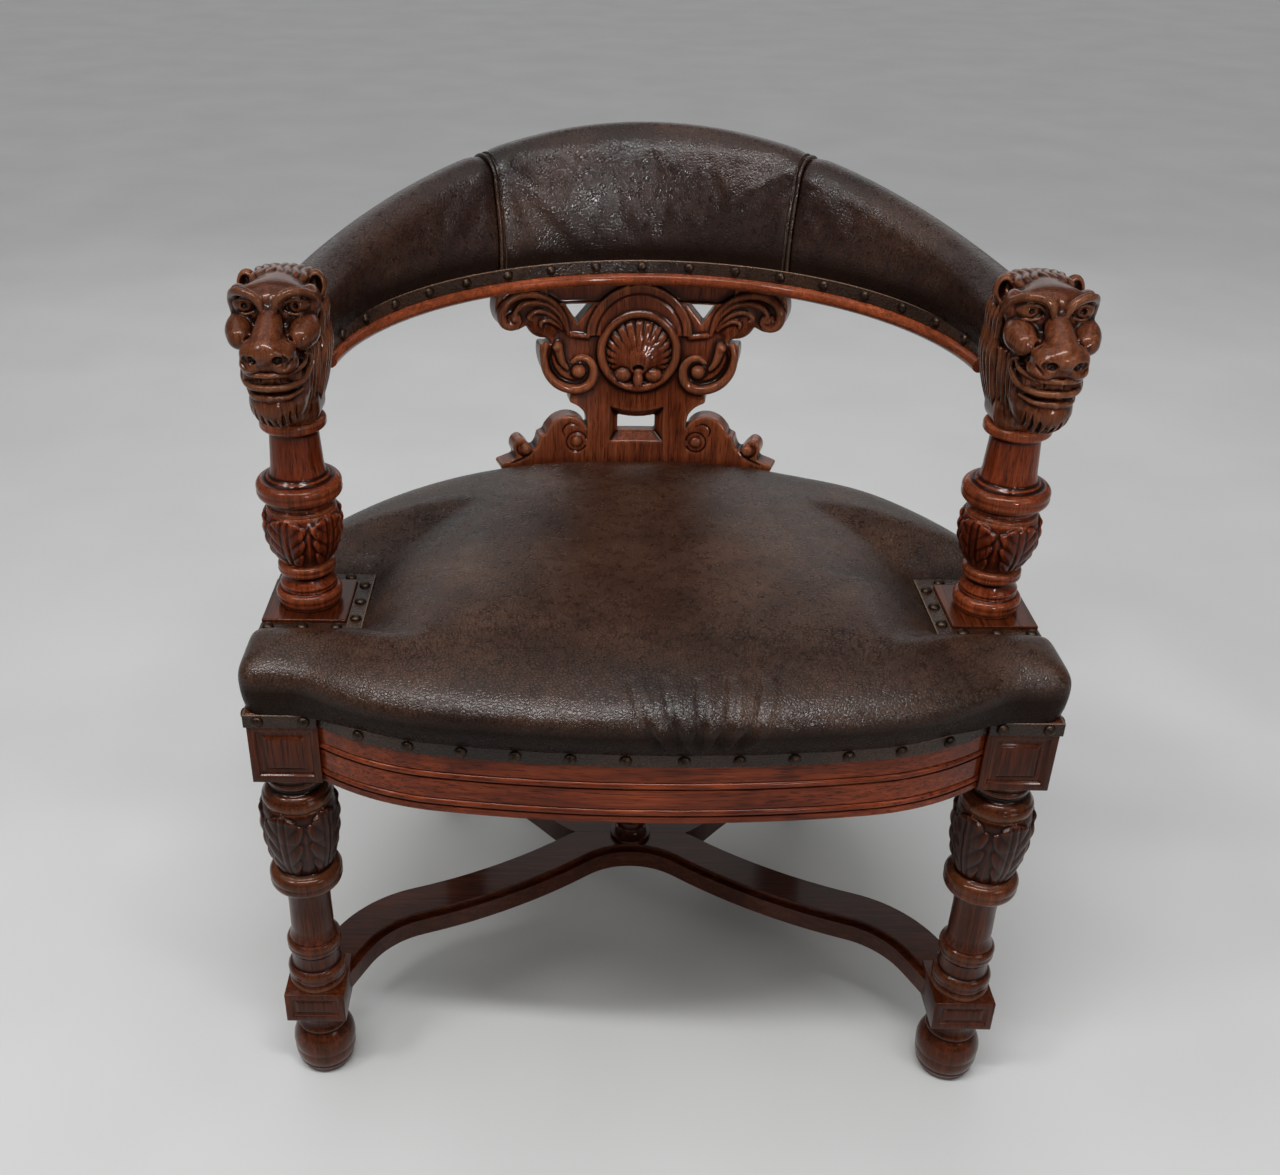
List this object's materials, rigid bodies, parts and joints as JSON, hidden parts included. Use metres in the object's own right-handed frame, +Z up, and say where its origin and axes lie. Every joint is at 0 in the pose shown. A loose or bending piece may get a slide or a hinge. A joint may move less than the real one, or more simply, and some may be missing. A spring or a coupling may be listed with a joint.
{
  "type": "library armchair",
  "caption": "Carved dark oak armchair with lion-head arms, a padded leather horseshoe back, a pierced shell splat, a bowed leather seat and a curved cross stretcher.",
  "frame": {"origin": "on the floor under the middle of the chair's box", "axes": "+Z up, -Y is the way the sitter faces, +X to the right in the picture"},
  "size_m": [0.692, 0.5524, 0.828],
  "materials": {
    "dark_oak": "dark stained, waxed",
    "plain_beech": "bare",
    "brown_leather": "dark brown, pebbled, semi-gloss",
    "hair_stuffing": "matt",
    "jute": "matt",
    "bronzed_nails": "dark bronzed",
    "steel": "plain"
  },
  "bodies": {
    "root": {"arm_plinth_left": "dark_oak", "arm_plinth_right": "dark_oak", "arm_post_left": "dark_oak", "arm_post_right": "dark_oak", "arm_rail_dowels": "plain_beech", "arm_rail_left": "dark_oak", "arm_rail_right": "dark_oak", "armrest_cover_left": "brown_leather", "armrest_cover_right": "brown_leather", "armrest_stuffing_left": "hair_stuffing", "armrest_stuffing_right": "hair_stuffing", "back_splat": "dark_oak", "backrest_cover": "brown_leather", "backrest_stuffing": "hair_stuffing", "corner_block_left": "plain_beech", "corner_block_right": "plain_beech", "corner_block_screws": "steel", "cover_welts": "brown_leather", "front_rail": "dark_oak", "leg_front_left": "dark_oak", "leg_front_right": "dark_oak", "leg_rear_left": "dark_oak", "leg_rear_right": "dark_oak", "lion_head_left": "dark_oak", "lion_head_right": "dark_oak", "plinth_cleat_left": "plain_beech", "plinth_cleat_right": "plain_beech", "plinth_nails": "bronzed_nails", "plinth_strip_left": "brown_leather", "plinth_strip_right": "brown_leather", "rail_gimp_inner": "brown_leather", "rail_gimp_outer": "brown_leather", "rail_nails": "bronzed_nails", "rear_rail": "dark_oak", "seat_frame_dowels": "plain_beech", "seat_gimp": "brown_leather", "seat_hessian": "jute", "seat_leather": "brown_leather", "seat_nails": "bronzed_nails", "seat_stuffing": "hair_stuffing", "seat_webbing": "jute", "side_rail_left": "dark_oak", "side_rail_right": "dark_oak", "splat_dowels": "plain_beech", "stretcher_dowels": "plain_beech", "stretcher_finial": "dark_oak", "stretcher_front_yoke": "dark_oak", "stretcher_rear_yoke": "dark_oak"}
  },
  "joints": []
}
